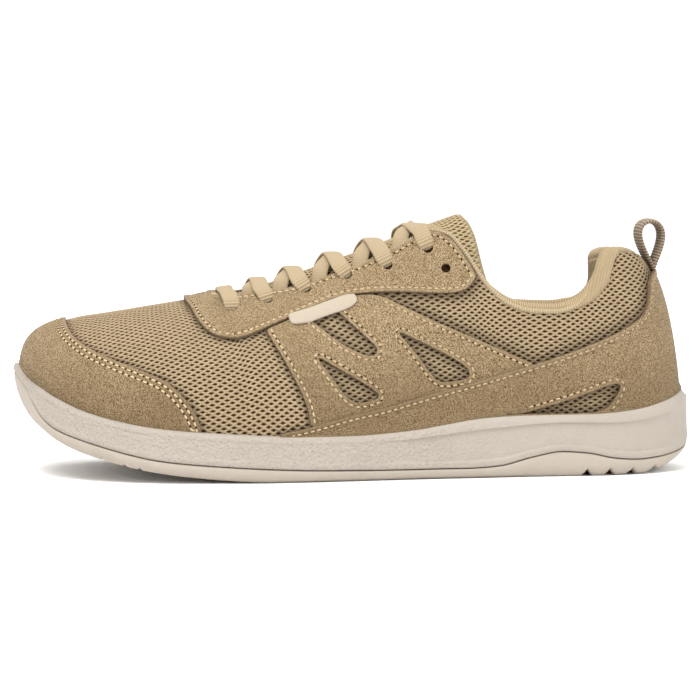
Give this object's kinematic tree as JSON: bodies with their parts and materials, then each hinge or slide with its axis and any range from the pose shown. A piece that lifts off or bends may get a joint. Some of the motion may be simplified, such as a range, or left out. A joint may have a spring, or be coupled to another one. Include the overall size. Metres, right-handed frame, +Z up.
{
  "type": "barefoot shoe",
  "caption": "Low lace-up barefoot shoe: wide toe box, mesh upper, suede toe cap and side panels, padded collar with a heel pull loop, thin flat cupped rubber sole.",
  "frame": {"origin": "on the floor, under the middle of the sole's bounding box", "axes": "+Z up, +X towards the heel, +Y towards the inner (medial) side; the toe points to -X and the outer side faces -Y"},
  "size_m": [0.285, 0.106, 0.1078],
  "materials": {
    "outsole_rubber": "matt off-white rubber with a fine grain",
    "midsole_rubber": "matt off-white rubber with a fine leather-like grain",
    "mesh_cloth": "tan spacer mesh with long six-sided holes",
    "suede": "tan suede with a short nap",
    "lace_cloth": "flat cream woven lace",
    "webbing": "tan woven webbing",
    "tab_cloth": "smooth cream tape, blank",
    "insole_cloth": "cream knit cloth"
  },
  "bodies": {
    "root": {"outsole": "outsole_rubber", "midsole": "midsole_rubber", "insole": "insole_cloth", "upper": "mesh_cloth", "tongue": "mesh_cloth", "toe_cap": "suede", "eyestay": "suede", "saddle_lateral": "suede", "saddle_medial": "suede", "heel_counter": "suede", "side_tab": "tab_cloth", "lace_1": "lace_cloth", "lace_2": "lace_cloth", "lace_3": "lace_cloth", "lace_4": "lace_cloth", "lace_5": "lace_cloth", "lace_6": "lace_cloth", "pull_loop": "webbing"}
  },
  "joints": []
}
